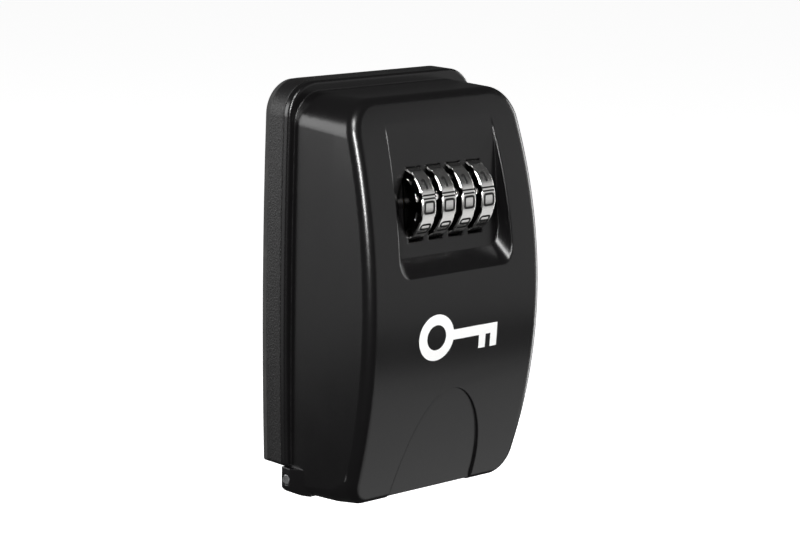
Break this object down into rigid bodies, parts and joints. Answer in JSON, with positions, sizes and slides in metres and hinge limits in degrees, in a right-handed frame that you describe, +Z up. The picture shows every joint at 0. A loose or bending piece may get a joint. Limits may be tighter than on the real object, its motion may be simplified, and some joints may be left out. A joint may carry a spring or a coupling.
{
  "type": "key lock box",
  "caption": "Wall-mounted key lock box: bulged dark metal door hinged along its lower edge, with a number-wheel code lock and sprung latch, closing a shallow wall tray with a key hook.",
  "frame": {"origin": "centre of the wall screw holes, on the wall plane", "axes": "+X to the right seen from the front, +Y into the wall, +Z up"},
  "size_m": [0.0732, 0.0445, 0.1204],
  "materials": {
    "pad_rubber": "matt foam rubber",
    "case_paint": "rough dark grey powder coat",
    "seal_rubber": "matt black rubber",
    "door_paint": "satin charcoal paint",
    "pin_steel": "ground steel",
    "dial_chrome": "satin silver plating with black digits",
    "hub_brass": "machined brass",
    "spring_steel": "bright spring steel",
    "plate_steel": "zinc plated pressed steel",
    "screw_steel": "zinc plated steel",
    "cover_paint": "satin black paint"
  },
  "bodies": {
    "case": {"back_pad": "pad_rubber", "rear_case": "case_paint", "case_seal": "seal_rubber", "striker_bracket": "plate_steel", "striker_rivets": "screw_steel", "key_hook": "plate_steel", "hook_rivets": "screw_steel"},
    "door": {"door_shell": "door_paint", "hinge_pin": "pin_steel", "mechanism_frame": "plate_steel", "frame_screws": "screw_steel", "detent_spring": "spring_steel", "detent_rivets": "screw_steel", "mechanism_cover": "cover_paint", "cover_screws": "screw_steel", "bolt_guide_screws": "screw_steel", "bolt_spring_left": "spring_steel", "bolt_spring_right": "spring_steel", "clutch_spring": "spring_steel"},
    "lock_bolt": {"lock_bolt": "plate_steel"},
    "code_change": {"dial_axle": "pin_steel", "hub_spacers": "hub_brass", "axle_clips": "spring_steel", "code_change_slider": "plate_steel"},
    "dial_1": {"dial_wheel_1": "dial_chrome"},
    "hub_1": {"code_hub_1": "hub_brass"},
    "dial_2": {"dial_wheel_2": "dial_chrome"},
    "hub_2": {"code_hub_2": "hub_brass"},
    "dial_3": {"dial_wheel_3": "dial_chrome"},
    "hub_3": {"code_hub_3": "hub_brass"},
    "dial_4": {"dial_wheel_4": "dial_chrome"},
    "hub_4": {"code_hub_4": "hub_brass"}
  },
  "joints": [
    {"name": "door_hinge", "type": "hinge", "parent": "case", "child": "door", "pos_m": [0, -0.0103, -0.0564], "axis": [1, 0, 0], "range_deg": [0, 100]},
    {"name": "bolt_slide", "type": "slide", "parent": "door", "child": "lock_bolt", "axis": [0, 0, 1], "range_m": [0, 0.0025], "deforming": ["bolt_spring_left", "bolt_spring_right"]},
    {"name": "code_change_slide", "type": "slide", "parent": "door", "child": "code_change", "axis": [1, 0, 0], "range_m": [0, 0.0012], "stiffness_N_per_m": 150, "springref_m": -0.003, "deforming": ["clutch_spring"]},
    {"name": "dial_1_turn", "type": "hinge", "parent": "door", "child": "dial_1", "pos_m": [-0.0117, -0.033, 0.0265], "axis": [1, 0, 0], "continuous": true},
    {"name": "hub_1_turn", "type": "hinge", "parent": "code_change", "child": "hub_1", "pos_m": [-0.0117, -0.033, 0.0265], "axis": [1, 0, 0], "continuous": true},
    {"name": "dial_2_turn", "type": "hinge", "parent": "door", "child": "dial_2", "pos_m": [-0.0039, -0.033, 0.0265], "axis": [1, 0, 0], "continuous": true},
    {"name": "hub_2_turn", "type": "hinge", "parent": "code_change", "child": "hub_2", "pos_m": [-0.0039, -0.033, 0.0265], "axis": [1, 0, 0], "continuous": true},
    {"name": "dial_3_turn", "type": "hinge", "parent": "door", "child": "dial_3", "pos_m": [0.0039, -0.033, 0.0265], "axis": [1, 0, 0], "continuous": true},
    {"name": "hub_3_turn", "type": "hinge", "parent": "code_change", "child": "hub_3", "pos_m": [0.0039, -0.033, 0.0265], "axis": [1, 0, 0], "continuous": true},
    {"name": "dial_4_turn", "type": "hinge", "parent": "door", "child": "dial_4", "pos_m": [0.0117, -0.033, 0.0265], "axis": [1, 0, 0], "continuous": true},
    {"name": "hub_4_turn", "type": "hinge", "parent": "code_change", "child": "hub_4", "pos_m": [0.0117, -0.033, 0.0265], "axis": [1, 0, 0], "continuous": true}
  ],
  "couplings": [
    {"joint": "hub_1_turn", "follows": "dial_1_turn", "ratio": 1},
    {"joint": "hub_2_turn", "follows": "dial_2_turn", "ratio": 1},
    {"joint": "hub_3_turn", "follows": "dial_3_turn", "ratio": 1},
    {"joint": "hub_4_turn", "follows": "dial_4_turn", "ratio": 1}
  ]
}
